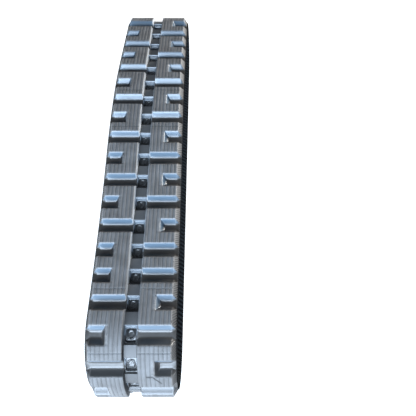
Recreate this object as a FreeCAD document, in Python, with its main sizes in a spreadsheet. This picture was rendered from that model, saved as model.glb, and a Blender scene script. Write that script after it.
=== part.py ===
import FreeCAD, Part
import math
import os
from collections import namedtuple

from FreeCAD import Placement, Rotation, Vector

# Steel-cored rubber track for a compact loader, standing on its tread as a free closed loop.
# X runs across the belt, Y along the loop and Z up; the origin is on the ground under the middle
# of the loop. Every place on the loop is given by a distance along the cord line, by x, and by a
# height above the cord line, which is positive towards the tread and negative towards the rollers.

DIMENSIONS = [
    # the belt and its links
    ("pitch", 100.0),
    ("link_count", 41),
    ("belt_width", 320.0),
    ("row_offset", -6.3),
    ("splice_row", 8),
    # the resting shape of the cord line
    ("near_lower_radius", 142.0),
    ("near_upper_radius", 205.0),
    ("near_dip_deg", 3.1),
    ("sag_length", 668.0),
    ("sag_exit_deg", 5.6),
    ("crown_length", 585.0),
    ("far_slope_deg", 11.7),
    # heights above the cord line
    ("plateau_height", 43.0),
    ("cover_height", 16.0),
    ("cord_half_height", 2.5),
    ("carcass_depth", 14.0),
    ("roller_path_depth", 20.0),
    ("guide_lug_depth", 50.0),
    # tread lugs and the slots between them
    ("plateau_half_width", 141.8),
    ("lug_foot_half_width", 157.0),
    ("channel_rim_half_width", 26.7),
    ("channel_floor_half_width", 21.0),
    ("channel_pad_height", 25.0),
    ("channel_pad_half_length", 22.0),
    ("slot_rim_half_length", 27.2),
    ("slot_floor_half_length", 16.5),
    ("short_slot_length", 58.0),
    # sprocket windows and the skins that close them
    ("window_half_width", 20.0),
    ("window_half_length", 26.0),
    ("skin_height", 6.0),
    ("ring_radius", 14.5),
    ("ring_wall", 3.0),
    ("ring_rise", 2.0),
    # steel cord bands and roller paths
    ("cord_inner_edge", 38.0),
    ("cord_outer_edge", 136.0),
    ("roller_path_inner_edge", 52.0),
    ("roller_path_outer_edge", 108.0),
    # forged cores
    ("wing_span", 256.0),
    ("wing_length", 34.0),
    ("wing_thickness", 8.0),
    ("wing_top_depth", 4.0),
    ("bridge_width", 40.0),
    ("bridge_length", 40.0),
    ("bridge_thickness", 12.0),
    ("horn_centre", 34.0),
    ("horn_base_width", 14.0),
    ("horn_tip_width", 9.0),
    ("horn_base_length", 30.0),
    ("horn_tip_length", 18.0),
    ("horn_depth", 40.0),
    # rubber guide lugs over the horns
    ("guide_lug_base_width", 24.0),
    ("guide_lug_tip_width", 16.0),
    ("guide_lug_base_length", 48.0),
    ("guide_lug_tip_length", 26.0),
    # gaps at the four flex lines, on each side of the line
    ("belt_gap", 1.5),
    ("lug_gap", 3.0),
]

# Each segment runs from one slot row to another; the flex lines lie on those rows.
SEGMENTS = [("near_bend", 0, 6), ("top_run", 6, 21), ("far_bend", 21, 26), ("bottom_run", 26, 41)]
SIDES = [("left", -1), ("right", 1)]
BOOLEAN_MARGIN = 6.0

# lengths too small to matter: an error of rounding, and a stretch that isn't worth building
ROUNDING = 1e-9
SHORTEST_STRETCH = 1e-6

Stretch = namedtuple("Stretch", "start length y z heading turn")

document = FreeCAD.newDocument("rubber_track")
sheet = document.addObject("Spreadsheet::Sheet", "sizes")
for row, (alias, number) in enumerate(DIMENSIONS, start=1):
    sheet.set(f"A{row}", alias)
    sheet.set(f"B{row}", str(number))
    sheet.setAlias(f"B{row}", alias)
document.recompute()


def size(alias):
    """The number in one cell of the sheet."""
    return float(getattr(sheet, alias))


# ---------------------------------------------------------------- the cord line


def end_of(stretch):
    """Place and heading where a stretch ends: (y, z, heading)."""
    return place_on(stretch, stretch.start + stretch.length)


def place_on(stretch, distance):
    """Place and heading at a distance along the line, on one stretch."""
    along = distance - stretch.start
    if stretch.turn == 0:
        y = stretch.y + along * math.cos(stretch.heading)
        z = stretch.z + along * math.sin(stretch.heading)
        return y, z, stretch.heading
    radius = stretch.length / stretch.turn
    heading = stretch.heading + along / radius
    y = stretch.y + radius * (math.sin(heading) - math.sin(stretch.heading))
    z = stretch.z - radius * (math.cos(heading) - math.cos(stretch.heading))
    return y, z, heading


def open_line(tail_length):
    """The cord line from the ground at the near end, over the top, back to the ground."""
    quarter = math.pi / 2
    dip = math.radians(size("near_dip_deg"))
    sag_exit = math.radians(size("sag_exit_deg"))
    slope = math.radians(size("far_slope_deg"))
    turns = [
        (size("near_lower_radius") * quarter, -quarter),
        (size("near_upper_radius") * (quarter + dip), -(quarter + dip)),
        (size("sag_length"), dip + sag_exit),
        (size("crown_length"), -(sag_exit + slope)),
        (tail_length, 0.0),
    ]
    lead = size("pitch")
    line = [Stretch(-lead, lead, lead, 0.0, math.pi, 0.0)]
    for length, turn in turns:
        y, z, heading = end_of(line[-1])
        line.append(Stretch(line[-1].start + line[-1].length, length, y, z, heading, turn))
    y, z, heading = end_of(line[-1])
    far_radius = z / (1 + math.cos(heading))
    far_turn = math.pi + heading
    far_start = line[-1].start + line[-1].length
    line.append(Stretch(far_start, far_radius * far_turn, y, z, heading, -far_turn))
    return line


def loop_length(tail_length):
    """Length of the whole loop once the straight run along the ground closes it."""
    last = open_line(tail_length)[-1]
    return last.start + last.length + end_of(last)[0]


def closed_line():
    """The cord line whose loop is exactly link_count pitches long, centred on the origin."""
    wanted = size("pitch") * size("link_count")
    tail_length = (wanted - loop_length(0.0)) / (loop_length(1.0) - loop_length(0.0))
    line = open_line(tail_length)
    far_y = end_of(line[-1])[0]
    far_bend = line[-1]
    ground_start = far_bend.start + far_bend.length
    line.append(Stretch(ground_start, far_y, far_y, 0.0, -math.pi, 0.0))
    far_radius = -far_bend.length / far_bend.turn
    near_end = -size("near_lower_radius")
    far_end = far_y + far_radius
    middle = (near_end + far_end) / 2
    rise = size("plateau_height")
    return [piece._replace(y=piece.y - middle, z=piece.z + rise) for piece in line]


LINE = closed_line()


def place_at(distance):
    """Place and heading at a distance along the cord line."""
    for stretch in LINE:
        if distance <= stretch.start + stretch.length + ROUNDING:
            return place_on(stretch, distance)
    return end_of(LINE[-1])


def pieces_between(start, end):
    """Parts of the stretches that lie between two distances."""
    found = []
    for stretch in LINE:
        low = max(start, stretch.start)
        high = min(end, stretch.start + stretch.length)
        if high - low < SHORTEST_STRETCH:
            continue
        y, z, heading = place_on(stretch, low)
        turn = stretch.turn * (high - low) / stretch.length
        found.append(Stretch(low, high - low, y, z, heading, turn))
    return found


def row_at(number):
    """Distance of a slot row, which is also where a flex line can lie."""
    return size("row_offset") + number * size("pitch")


def core_at(number):
    """Distance of the core between slot rows number and number + 1."""
    return row_at(number) + size("pitch") / 2


def local_point(distance, along, x, height):
    """A point in the flat frame that touches the cord line at a distance."""
    y, z, heading = place_at(distance)
    return Vector(
        x,
        y + along * math.cos(heading) - height * math.sin(heading),
        z + along * math.sin(heading) + height * math.cos(heading),
    )


def local_placement(distance):
    """Placement whose local axes are X across, Y along the line and Z towards the tread."""
    heading = place_at(distance)[2]
    return Placement(local_point(distance, 0, 0, 0), Rotation(Vector(1, 0, 0), math.degrees(heading)))


# ---------------------------------------------------------------- shapes that follow the line


def offset_edge(piece, height):
    """The edge that runs beside one stretch, as geometry in the Y, Z plane."""
    if piece.turn == 0:
        first = flat_offset(piece, 0.0, height)
        last = flat_offset(piece, piece.length, height)
        return Part.LineSegment(first, last)
    radius = piece.length / piece.turn
    centre = flat_offset(piece, 0.0, radius)
    side = math.copysign(math.pi / 2, -piece.turn)
    angles = sorted([piece.heading + side, piece.heading + piece.turn + side])
    circle = Part.Circle(centre, Vector(0, 0, 1), abs(radius - height))
    return Part.ArcOfCircle(circle, angles[0], angles[1])


def flat_offset(piece, along, height):
    """A point beside a stretch, in the Y, Z plane, as sketch coordinates."""
    y, z, heading = place_on(piece, piece.start + along)
    return Vector(y - height * math.sin(heading), z + height * math.cos(heading), 0)


def side_profile(start, end, low, high):
    """Closed outline, in the Y, Z plane, of a band between two heights and two distances."""
    pieces = pieces_between(start, end)
    outline = [offset_edge(piece, high) for piece in pieces]
    outline += [offset_edge(piece, low) for piece in pieces]
    for piece, along in ((pieces[0], 0.0), (pieces[-1], pieces[-1].length)):
        outline.append(Part.LineSegment(flat_offset(piece, along, low), flat_offset(piece, along, high)))
    return outline


def band_body(name, start, end, low, high, offset, width):
    """A band of constant section, padded across the belt; offset and width are expressions."""
    body = document.addObject("PartDesign::Body", name)
    body.Label = name
    sketch = body.newObject("Sketcher::SketchObject", name + "_side")
    plane = [item for item in body.Origin.OriginFeatures if item.Role == "YZ_Plane"][0]
    sketch.AttachmentSupport = [(plane, "")]
    sketch.MapMode = "FlatFace"
    sketch.setExpression("AttachmentOffset.Base.z", offset)
    for geometry in side_profile(start, end, low, high):
        sketch.addGeometry(geometry, False)
    pad = body.newObject("PartDesign::Pad", name + "_pad")
    pad.Profile = sketch
    pad.setExpression("Length", width)
    return body


def section_face(distance, section):
    """A flat section across the line, from (x, height) corners."""
    corners = [local_point(distance, 0, x, height) for x, height in section]
    return Part.Face(Part.makePolygon(corners + corners[:1]))


def swept(section, start, end):
    """A solid of constant section that follows the line from start to end."""
    solids = []
    for piece in pieces_between(start, end):
        face = section_face(piece.start, section)
        if piece.turn == 0:
            travel = Vector(0, math.cos(piece.heading), math.sin(piece.heading)) * piece.length
            solids.append(face.extrude(travel))
        else:
            radius = piece.length / piece.turn
            centre = flat_offset(piece, 0.0, radius)
            axis_point = Vector(0, centre.x, centre.y)
            solids.append(face.revolve(axis_point, Vector(1, 0, 0), math.degrees(piece.turn)))
    if len(solids) == 1:
        return solids[0]
    return solids[0].multiFuse(solids[1:]).removeSplitter()


def tapered_block(distance, low, high):
    """A block with four flat walls; low and high are (height, x0, x1, along0, along1)."""
    wires = []
    for height, x0, x1, along0, along1 in (low, high):
        corners = [(along0, x0), (along0, x1), (along1, x1), (along1, x0)]
        points = [local_point(distance, along, x, height) for along, x in corners]
        wires.append(Part.makePolygon(points + points[:1]))
    return Part.makeLoft(wires, True, True)


def add_feature(name, shape):
    """A document object that holds a shape made by code."""
    feature = document.addObject("Part::Feature", name)
    feature.Shape = shape
    feature.Placement = Placement()
    feature.Label = name
    return feature


def add_cut(name, base, tool):
    """A boolean cut of two document objects."""
    cut = document.addObject("Part::Cut", name)
    cut.Base = base
    cut.Tool = tool
    cut.Label = name
    return cut


def segment_ends(first_row, last_row, gap):
    """Distances where a segment's band starts and ends, clear of its two flex lines."""
    return row_at(first_row) + gap, row_at(last_row) - gap


# ---------------------------------------------------------------- tread lugs


def left_slot_is_long(number):
    """Long and short slots alternate, except that the splice row repeats the row before it."""
    parity = 0 if number < size("splice_row") else 1
    return number % 2 == parity


def slot_cutter(number, side):
    """The space of one slot on one side: right across the lug, or its outer part only."""
    rim, floor = size("slot_rim_half_length"), size("slot_floor_half_length")
    lean = (rim - floor) / (size("plateau_height") - size("cover_height"))
    is_long = left_slot_is_long(number) == (side < 0)
    outside = size("belt_width") / 2 + BOOLEAN_MARGIN
    levels = []
    for height in (size("cover_height") - BOOLEAN_MARGIN, size("plateau_height") + BOOLEAN_MARGIN):
        drop = size("plateau_height") - height
        half = rim - lean * drop
        inside = size("plateau_half_width") - size("short_slot_length") + lean * drop
        inner_x = 0.0 if is_long else inside
        levels.append((height, side * inner_x, side * outside, -half, half))
    return tapered_block(row_at(number), levels[0], levels[1])


def tread_lugs(segment, first_row, last_row, side_name, side):
    """The raised blocks on one side of one segment."""
    section = [
        (side * size("channel_floor_half_width"), size("cover_height")),
        (side * size("lug_foot_half_width"), size("cover_height")),
        (side * size("plateau_half_width"), size("plateau_height")),
        (side * size("channel_rim_half_width"), size("plateau_height")),
    ]
    start, end = segment_ends(first_row, last_row, size("lug_gap"))
    rows = range(first_row, last_row + 1)
    blocks = swept(section, start, end).cut([slot_cutter(number, side) for number in rows])
    return add_feature(f"{side_name}_tread_lugs_{segment}", blocks)


# ---------------------------------------------------------------- cover, windows and skins


def window_space(number):
    """The space of one sprocket window, right through the tread cover."""
    half_width, half_length = size("window_half_width"), size("window_half_length")
    low = (0.0, -half_width, half_width, -half_length, half_length)
    high = (size("cover_height") + BOOLEAN_MARGIN,) + low[1:]
    return tapered_block(row_at(number), low, high)


def tread_cover(segment, first_row, last_row):
    """The rubber layer under the lugs, with a hole over every sprocket window."""
    start, end = segment_ends(first_row, last_row, size("belt_gap"))
    blank = band_body(
        f"cover_blank_{segment}", start, end, size("cord_half_height"), size("cover_height"),
        "-sizes.belt_width / 2", "sizes.belt_width",
    )
    holes = Part.makeCompound([window_space(number) for number in range(first_row, last_row + 1)])
    return add_cut(f"tread_cover_{segment}", blank, add_feature(f"cover_holes_{segment}", holes))


def channel_pads(segment, first_row, last_row):
    """The raised floor of the channel between the windows, one pad over each core."""
    low, high = size("cover_height"), size("channel_pad_height")
    floor, rim = size("channel_floor_half_width"), size("channel_rim_half_width")
    top = floor + (rim - floor) * (high - low) / (size("plateau_height") - low)
    section = [(-floor, low), (floor, low), (top, high), (-top, high)]
    reach = size("channel_pad_half_length")
    middles = [core_at(number) for number in range(first_row, last_row)]
    pads = [swept(section, middle - reach, middle + reach) for middle in middles]
    return add_feature(f"channel_pads_{segment}", Part.makeCompound(pads))


def skin_ring(number):
    """The moulded ring that stands on a window skin."""
    base = size("cord_half_height") + size("ring_rise") / 2
    height = size("skin_height") + size("ring_rise") - base
    outer = Part.makeCylinder(size("ring_radius"), height)
    inner = Part.makeCylinder(size("ring_radius") - size("ring_wall"), height)
    ring = outer.cut(inner)
    ring.Placement = local_placement(row_at(number)).multiply(Placement(Vector(0, 0, base), Rotation()))
    return ring


def window_skins(segment, first_row, last_row):
    """Thin rubber skins that close the windows; those on a flex line are halves."""
    half_width = size("window_half_width")
    low, high = size("cord_half_height"), size("skin_height")
    section = [(-half_width, low), (half_width, low), (half_width, high), (-half_width, high)]
    start, end = segment_ends(first_row, last_row, size("belt_gap"))
    skins = []
    for number in range(first_row, last_row + 1):
        reach = size("window_half_length") + BOOLEAN_MARGIN
        strip = swept(section, max(start, row_at(number) - reach), min(end, row_at(number) + reach))
        skin = strip.common(window_space(number))
        if first_row < number < last_row:
            skin = skin.fuse(skin_ring(number)).removeSplitter()
        skins += skin.Solids
    return add_feature(f"window_skins_{segment}", Part.makeCompound(skins))


# ---------------------------------------------------------------- cords, cores and carcass


def cord_band(segment, first_row, last_row, side_name, side):
    """The layer of steel cords on one side."""
    start, end = segment_ends(first_row, last_row, size("belt_gap"))
    half = size("cord_half_height")
    offset = "sizes.cord_inner_edge" if side > 0 else "-sizes.cord_outer_edge"
    width = "sizes.cord_outer_edge - sizes.cord_inner_edge"
    return band_body(f"{side_name}_cords_{segment}", start, end, -half, half, offset, width)


def roller_path(segment, first_row, last_row, side_name, side):
    """The raised rubber strip that the rollers run on, on one side."""
    start, end = segment_ends(first_row, last_row, size("belt_gap"))
    offset = "sizes.roller_path_inner_edge" if side > 0 else "-sizes.roller_path_outer_edge"
    return band_body(
        f"{side_name}_roller_path_{segment}", start, end,
        -size("roller_path_depth"), -size("carcass_depth"),
        offset, "sizes.roller_path_outer_edge - sizes.roller_path_inner_edge",
    )


def core_box(name, width, length, thickness):
    """One flat part of the core pattern, centred across and along the belt."""
    box = document.addObject("Part::Box", name)
    box.setExpression("Length", f"sizes.{width}")
    box.setExpression("Width", f"sizes.{length}")
    box.setExpression("Height", f"sizes.{thickness}")
    box.setExpression("Placement.Base.x", f"-sizes.{width} / 2")
    box.setExpression("Placement.Base.y", f"-sizes.{length} / 2")
    box.setExpression("Placement.Base.z", "-sizes.wing_top_depth - sizes.wing_thickness")
    return box


def core_horn(side):
    """One guide horn of the core pattern, tapering away from the wings."""
    wires = []
    levels = [
        (size("wing_top_depth") + size("wing_thickness") / 2, "horn_base_width", "horn_base_length"),
        (size("horn_depth"), "horn_tip_width", "horn_tip_length"),
    ]
    for depth, width, length in levels:
        half_width, half_length = size(width) / 2, size(length) / 2
        corners = [(-1, -1), (1, -1), (1, 1), (-1, 1)]
        centre = side * size("horn_centre")
        points = [Vector(centre + a * half_width, b * half_length, -depth) for a, b in corners]
        wires.append(Part.makePolygon(points + points[:1]))
    return Part.makeLoft(wires, True, True)


def core_pattern():
    """One forged core: two wings, the bridge that the sprocket drives, and two guide horns."""
    wings = core_box("core_wings", "wing_span", "wing_length", "wing_thickness")
    bridge = core_box("core_bridge", "bridge_width", "bridge_length", "bridge_thickness")
    horns = [add_feature(f"core_horn_{name}", core_horn(side)) for name, side in SIDES]
    pattern = document.addObject("Part::MultiFuse", "core_pattern")
    pattern.Shapes = [wings, bridge] + horns
    pattern.Refine = True
    document.recompute()
    return pattern


def cores(segment, first_row, last_row, pattern):
    """Copies of the core, one between each two slot rows."""
    copies = []
    for number in range(first_row, last_row):
        copy = pattern.Shape.Solids[0].copy()
        copy.Placement = local_placement(core_at(number))
        copies.append(copy)
    return add_feature(f"cores_{segment}", Part.makeCompound(copies))


def carcass_strip(segment, first_row, last_row, side_name, side, cords, core_group):
    """The inner rubber on one side, moulded round the cords and the core wings."""
    start, end = segment_ends(first_row, last_row, size("belt_gap"))
    offset = "sizes.window_half_width" if side > 0 else "-sizes.belt_width / 2"
    blank = band_body(
        f"{side_name}_carcass_blank_{segment}", start, end,
        -size("carcass_depth"), size("cord_half_height"),
        offset, "sizes.belt_width / 2 - sizes.window_half_width",
    )
    without_cords = add_cut(f"{side_name}_carcass_cordless_{segment}", blank, cords)
    strip = add_cut(f"{side_name}_carcass_{segment}", without_cords, core_group)
    return strip, blank


def bridge_covers(segment, first_row, last_row, core_group):
    """The rubber round each core's bridge, between two sprocket windows."""
    half_width = size("window_half_width")
    low, high = -size("carcass_depth"), size("cord_half_height")
    section = [(-half_width, low), (half_width, low), (half_width, high), (-half_width, high)]
    half_length = size("pitch") / 2 - size("window_half_length")
    covers = []
    for number in range(first_row, last_row):
        centre = core_at(number)
        covers += swept(section, centre - half_length, centre + half_length).Solids
    blank = add_feature(f"bridge_cover_blanks_{segment}", Part.makeCompound(covers))
    return add_cut(f"bridge_covers_{segment}", blank, core_group)


def guide_lugs(segment, first_row, last_row, side_name, side, blank, core_group):
    """The rubber lugs that cover the core horns and guide the rollers, on one side."""
    blocks = []
    levels = [
        (size("carcass_depth") / 2, "guide_lug_base_width", "guide_lug_base_length"),
        (size("guide_lug_depth"), "guide_lug_tip_width", "guide_lug_tip_length"),
    ]
    for number in range(first_row, last_row):
        ends = []
        for depth, width, length in levels:
            centre = side * size("horn_centre")
            half_width, half_length = size(width) / 2, size(length) / 2
            ends.append((-depth, centre - half_width, centre + half_width, -half_length, half_length))
        blocks.append(tapered_block(core_at(number), ends[0], ends[1]))
    group = add_feature(f"{side_name}_guide_lug_blanks_{segment}", Part.makeCompound(blocks))
    outside = add_cut(f"{side_name}_guide_lugs_outside_{segment}", group, blank)
    return add_cut(f"{side_name}_guide_lugs_{segment}", outside, core_group)


# ---------------------------------------------------------------- the whole track


def build_segment(segment, first_row, last_row, pattern):
    """Every piece of one segment of the loop."""
    core_group = cores(segment, first_row, last_row, pattern)
    made = [core_group]
    made.append(tread_cover(segment, first_row, last_row))
    made.append(channel_pads(segment, first_row, last_row))
    made.append(window_skins(segment, first_row, last_row))
    made.append(bridge_covers(segment, first_row, last_row, core_group))
    for side_name, side in SIDES:
        cords = cord_band(segment, first_row, last_row, side_name, side)
        strip, blank = carcass_strip(segment, first_row, last_row, side_name, side, cords, core_group)
        made += [cords, strip]
        made.append(roller_path(segment, first_row, last_row, side_name, side))
        made.append(guide_lugs(segment, first_row, last_row, side_name, side, blank, core_group))
        made.append(tread_lugs(segment, first_row, last_row, side_name, side))
    return made


def check_document():
    """Stops the build if any object failed to recompute."""
    for item in document.Objects:
        if "Invalid" in item.State or "Error" in item.State:
            raise RuntimeError(f"{item.Label} failed: {item.State}")


def write_pieces(made):
    """Writes one STEP file for each piece, after checking its shape."""
    os.makedirs("parts", exist_ok=True)
    for piece in made:
        shape = piece.Shape
        if shape.isNull() or not shape.isValid() or not shape.Solids:
            raise RuntimeError(f"{piece.Label} has no valid solid")
        shape.exportStep(f"parts/{piece.Label}.step")


def main():
    pattern = core_pattern()
    made = []
    for segment, first_row, last_row in SEGMENTS:
        made += build_segment(segment, first_row, last_row, pattern)
    document.recompute()
    check_document()
    write_pieces(made)
    for segment, first_row, _ in SEGMENTS:
        y, z, heading = place_at(row_at(first_row))
        print(f"{segment} starts at y {y:.3f}, z {z:.3f}, heading {math.degrees(heading):.2f}")


main()
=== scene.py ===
import math
from collections import namedtuple

import bpy
import numpy as np
from mathutils import Matrix, Vector


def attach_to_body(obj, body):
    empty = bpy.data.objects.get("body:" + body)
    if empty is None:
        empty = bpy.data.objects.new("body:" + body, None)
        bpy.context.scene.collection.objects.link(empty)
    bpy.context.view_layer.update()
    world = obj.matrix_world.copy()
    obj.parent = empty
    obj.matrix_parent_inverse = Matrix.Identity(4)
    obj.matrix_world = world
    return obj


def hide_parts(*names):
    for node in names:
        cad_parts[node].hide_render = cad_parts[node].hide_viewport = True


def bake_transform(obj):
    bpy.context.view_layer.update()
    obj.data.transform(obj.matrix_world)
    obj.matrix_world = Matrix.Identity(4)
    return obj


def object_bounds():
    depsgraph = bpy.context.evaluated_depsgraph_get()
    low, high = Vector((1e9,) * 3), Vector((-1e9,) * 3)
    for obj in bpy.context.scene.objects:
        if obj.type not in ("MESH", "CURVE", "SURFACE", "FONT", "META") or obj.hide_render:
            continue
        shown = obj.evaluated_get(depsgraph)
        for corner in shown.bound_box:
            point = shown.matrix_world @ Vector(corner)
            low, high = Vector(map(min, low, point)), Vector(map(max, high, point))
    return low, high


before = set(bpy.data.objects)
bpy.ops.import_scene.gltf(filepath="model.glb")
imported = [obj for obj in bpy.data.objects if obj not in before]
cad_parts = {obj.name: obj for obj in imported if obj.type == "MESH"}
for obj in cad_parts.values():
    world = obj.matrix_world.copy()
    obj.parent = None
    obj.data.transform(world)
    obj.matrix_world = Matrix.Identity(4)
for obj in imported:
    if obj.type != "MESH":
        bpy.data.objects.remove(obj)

# The looks of a steel-cored rubber track that stands on its tread as a free closed loop. A point of
# the belt is given by a distance along the cord line, by x, and by a height above the cord line,
# which is positive towards the tread. All sizes are in metres, as in the CAD frame.

CAD_LOW, CAD_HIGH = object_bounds()

# the belt and its links
PITCH = 0.100
LINK_COUNT = 41
ROW_OFFSET = -0.0063
SPLICE_ROW = 8
BELT_HALF = (CAD_HIGH.x - CAD_LOW.x) / 2

# the resting shape of the cord line
NEAR_LOWER_RADIUS = 0.142
NEAR_UPPER_RADIUS = 0.205
NEAR_DIP = math.radians(3.1)
SAG_LENGTH = 0.668
SAG_EXIT = math.radians(5.6)
CROWN_LENGTH = 0.585
FAR_SLOPE = math.radians(11.7)

# heights above the cord line
PLATEAU = 0.043
COVER = 0.016
SKIN = 0.006
LAYER_SPLIT = 0.0025
CARCASS = -0.014
BLIND_RECESS = 0.001

# tread lugs, channel and slots, from the belt's middle or from a row
CHANNEL_FLOOR = 0.021
CHANNEL_RIM = 0.0267
PAD = 0.025
PAD_START = 0.0270
PAD_END = 0.0292
PLATEAU_HALF = 0.1418
LUG_FOOT = 0.157
SLOT_RIM = 0.0272
SLOT_FLOOR = 0.0165
SHORT_SLOT = 0.058
LUG_DEPTH = PLATEAU - COVER
SLOT_LEAN = LUG_DEPTH / (SLOT_RIM - SLOT_FLOOR)
CHANNEL_LEAN = LUG_DEPTH / (CHANNEL_RIM - CHANNEL_FLOOR)
SHOULDER_LEAN = LUG_DEPTH / (LUG_FOOT - PLATEAU_HALF)
SHORT_SLOT_FLOOR = PLATEAU_HALF - SHORT_SLOT + (SLOT_RIM - SLOT_FLOOR)

# difference in height over which two surfaces melt into each other
RIM_ROUND = 0.0045
SLOT_RIM_ROUND = 0.0120
TROUGH_ROUND = 0.026
FOOT_ROUND = 0.003
CORNER_ROUND = 0.012

# widths over which zones of the shape fade
TROUGH_FADE = 0.009
SHARE_FADE = 0.002
TOP_FADE = 0.0015
HATCH_FADE = 0.004
PAD_SIDE = 0.0035
PAD_SIDE_FADE = 0.001

# moulded ribs, parting lines and hatching
RIB_START = 0.0390
RIB_PITCH = 0.0153
RIB_COUNT = 7
GROOVE_HALF = 0.0012
GROOVE_DEPTH = 0.0012
PARTING_HALF = 0.0024
PARTING_DEPTH = 0.0016
PARTING_REPEAT = 9
PARTING_LINKS = (4, 6)
HATCH_PITCH = 0.0085
HATCH_DEPTH = 0.0010
HATCH_SLANT = 0.9
MARGIN_PITCH = 0.019
MARGIN_SLANT = 0.6

# a cut in the right lug after slot row 3
CUT_START = 0.055
CUT_BEND = 0.076
CUT_END = 0.108
CUT_RISE = 0.0240
CUT_SLOPE = 0.82
CUT_HALF_WIDTH = 0.0040

# sprocket windows, which narrow towards the skin: along the belt, and less across it
WINDOW_HALF = Vector((0.020, 0.026))
WINDOW_FRAME = 0.001
FRAME_X = WINDOW_HALF.x + WINDOW_FRAME
FRAME_Y = WINDOW_HALF.y + WINDOW_FRAME
WINDOW_CORNER = 0.007
WINDOW_PINCH = 0.22
PINCH_RATIO = 3
WINDOW_STEPS = 8
RIM_SHARE = 0.9

# roller paths and guide lugs on the inner side
ROLLER_DEPTH = 0.020
ROLLER_CENTRE = 0.080
ROLLER_HALF = 0.028
ROLLER_LEAN = 4.0
GUIDE_CENTRE = 0.034
GUIDE_DEPTH = 0.050
GUIDE_ROOT = 0.007
GUIDE_BASE = (0.012, 0.024)
GUIDE_TIP = (0.008, 0.013)
GUIDE_SIDE_LEAN = (GUIDE_DEPTH - GUIDE_ROOT) / (GUIDE_BASE[0] - GUIDE_TIP[0])
GUIDE_END_LEAN = (GUIDE_DEPTH - GUIDE_ROOT) / (GUIDE_BASE[1] - GUIDE_TIP[1])
INNER_ROUND = 0.003

# where the meshes change to close rows of points
TREAD_STRIP = 0.1385
INNER_STRIP = 0.112
CLOSE_STEP = 0.002

# lines closer than this are the same line
SAME_PLACE = 1e-5

# steps from an edge to the lines of points beside it
STEP_HALF = 1e-4
SLOT_END_STEP = 0.0032
RIM_STEPS = (0.25, 0.5, 0.75, 1.0, 1.6)
RIM_STEPS_INSIDE = (0.6, 0.3)
CHANNEL_EDGE = 0.001
PATH_EDGE = 0.0015
PATH_INSET = 0.004
GUIDE_MIDDLE = 0.0024
GUIDE_EDGE = 0.0015
GUIDE_FOOT = 0.004
GUIDE_FOOT_STEPS = (0.0006, 0.0, -0.0008)
GUIDE_TOP_STEPS = (0.0008, 0.0, -0.0016)

# columns over the shoulder, and on the hatched margin of the inner side
SHOULDER_COLUMNS = [TREAD_STRIP, PLATEAU_HALF - 0.001, PLATEAU_HALF, PLATEAU_HALF + 0.0015]
SHOULDER_COLUMNS += np.linspace(PLATEAU_HALF + 0.004, LUG_FOOT - 0.001, 5).tolist()
SHOULDER_COLUMNS += [LUG_FOOT + 0.0005, LUG_FOOT + 0.0018]
MARGIN_COLUMNS = [0.1572] + np.linspace(0.151, INNER_STRIP, 6).tolist()
MARGIN_FADE = 0.004

# height, inset and share of the hatch, for each line of points down the belt's edge
TREAD_EDGE = [(COVER - 0.0005, 0.0005, 0.3), (COVER - 0.002, 0.0, 1.0)]
TREAD_EDGE += [(0.009, 0.0, 1.0), (LAYER_SPLIT, 0.0, 1.0)]
INNER_EDGE = [(LAYER_SPLIT, 0.0, 1.0), (-0.004, 0.0, 1.0), (-0.010, 0.0, 1.0), (-0.013, 0.0008, 0.5)]

# outset, pinch and height of the inner half of a window's wall
INNER_WINDOW_LEVELS = [(0.0004, 0.0, CARCASS + 0.0002), (0.0, 0.0, CARCASS + 0.0012)]
INNER_WINDOW_LEVELS += [(0.0, 0.0, -0.004), (0.0, 0.0, LAYER_SPLIT)]

# the open pivot of the loop, and how far a flex line spreads into the rubber
OPEN_ROW = 26
BELT_GAP = 0.0015
LUG_GAP = 0.003

Stretch = namedtuple("Stretch", "start length y z heading turn")
Section = namedtuple("Section", "name start end bodies flex_row")


# ---- the cord line


def on_stretch(start, length, y, z, heading, turn, distance):
    """Y, Z and heading at distances along the line, on straight or curved stretches."""
    along = distance - start
    straight = turn == 0
    radius = length / np.where(straight, 1.0, turn)
    angle = heading + along * turn / np.maximum(length, SAME_PLACE)
    arc_y = y + radius * (np.sin(angle) - np.sin(heading))
    arc_z = z - radius * (np.cos(angle) - np.cos(heading))
    line_y = y + along * np.cos(heading)
    line_z = z + along * np.sin(heading)
    return np.where(straight, line_y, arc_y), np.where(straight, line_z, arc_z), angle


def end_of(stretch):
    """Place and heading where a stretch ends."""
    return on_stretch(*stretch, stretch.start + stretch.length)


def open_line(tail_length):
    """The cord line from the ground at the near end, over the top, to the ground again."""
    quarter = math.pi / 2
    turns = [
        (NEAR_LOWER_RADIUS * quarter, -quarter),
        (NEAR_UPPER_RADIUS * (quarter + NEAR_DIP), -(quarter + NEAR_DIP)),
        (SAG_LENGTH, NEAR_DIP + SAG_EXIT),
        (CROWN_LENGTH, -(SAG_EXIT + FAR_SLOPE)),
        (tail_length, 0.0),
    ]
    line = [Stretch(-PITCH, PITCH, PITCH, 0.0, math.pi, 0.0)]
    for length, turn in turns:
        y, z, heading = end_of(line[-1])
        line.append(Stretch(line[-1].start + line[-1].length, length, y, z, heading, turn))
    y, z, heading = end_of(line[-1])
    far_radius = z / (1 + math.cos(heading))
    far_turn = math.pi + heading
    far_start = line[-1].start + line[-1].length
    line.append(Stretch(far_start, far_radius * far_turn, y, z, heading, -far_turn))
    return line


def loop_length(tail_length):
    """Length of the whole loop once the straight run along the ground closes it."""
    last = open_line(tail_length)[-1]
    return last.start + last.length + end_of(last)[0]


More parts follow.
